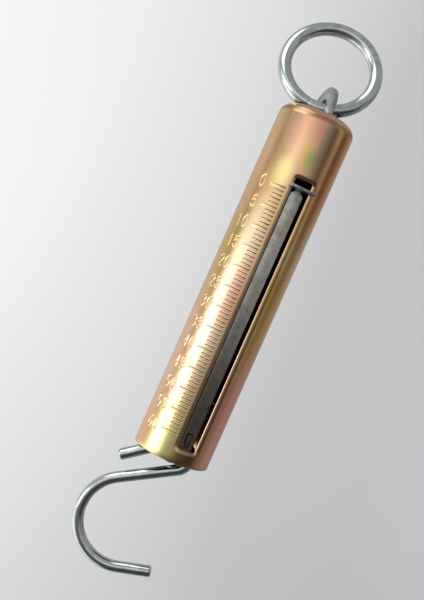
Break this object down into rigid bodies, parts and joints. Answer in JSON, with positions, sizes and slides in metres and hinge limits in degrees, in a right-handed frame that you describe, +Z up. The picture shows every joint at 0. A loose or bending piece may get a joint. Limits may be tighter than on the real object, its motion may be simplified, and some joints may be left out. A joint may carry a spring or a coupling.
{
  "type": "hanging spring scale",
  "caption": "Tubular hanging spring scale: slotted metal tube with a stamped scale, pointer, spring, top ring and load hook.",
  "frame": {"origin": "centre of the eye in the suspension plate that the ring passes through, on the tube's axis", "axes": "+Z up along the tube as it hangs, -Y out through the slot, +X to the right of the slot seen from the front"},
  "size_m": [0.0457, 0.0363, 0.2462],
  "materials": {
    "yellow_zinc": "zinc plate with a yellow, slightly iridescent passivate",
    "bright_zinc": "bright clear zinc plate",
    "dull_zinc": "dull grey zinc plate",
    "oiled_steel": "black oiled spring steel"
  },
  "bodies": {
    "case": {"case_tube": "yellow_zinc", "top_cap": "bright_zinc", "suspension_plate": "bright_zinc", "main_spring": "oiled_steel"},
    "ring": {"hanging_ring": "bright_zinc"},
    "carriage": {"load_plate": "bright_zinc", "index_strip": "dull_zinc", "pointer": "bright_zinc"},
    "hook": {"load_hook": "bright_zinc"}
  },
  "joints": [
    {"name": "ring_swing", "type": "hinge", "parent": "case", "child": "ring", "pos_m": [0, 0, 0], "axis": [0.9449, -0.3272, 0], "range_deg": [-66.5, 105.5]},
    {"name": "load_slide", "type": "slide", "parent": "case", "child": "carriage", "axis": [0, 0, -1], "range_m": [0, 0.1105], "stiffness_N_per_m": 5620, "deforming": ["main_spring"]},
    {"name": "hook_swing", "type": "hinge", "parent": "carriage", "child": "hook", "pos_m": [0.00217, -0.00075, -0.1529], "axis": [-0.3272, -0.9449, 0], "range_deg": [-8, 36]}
  ]
}
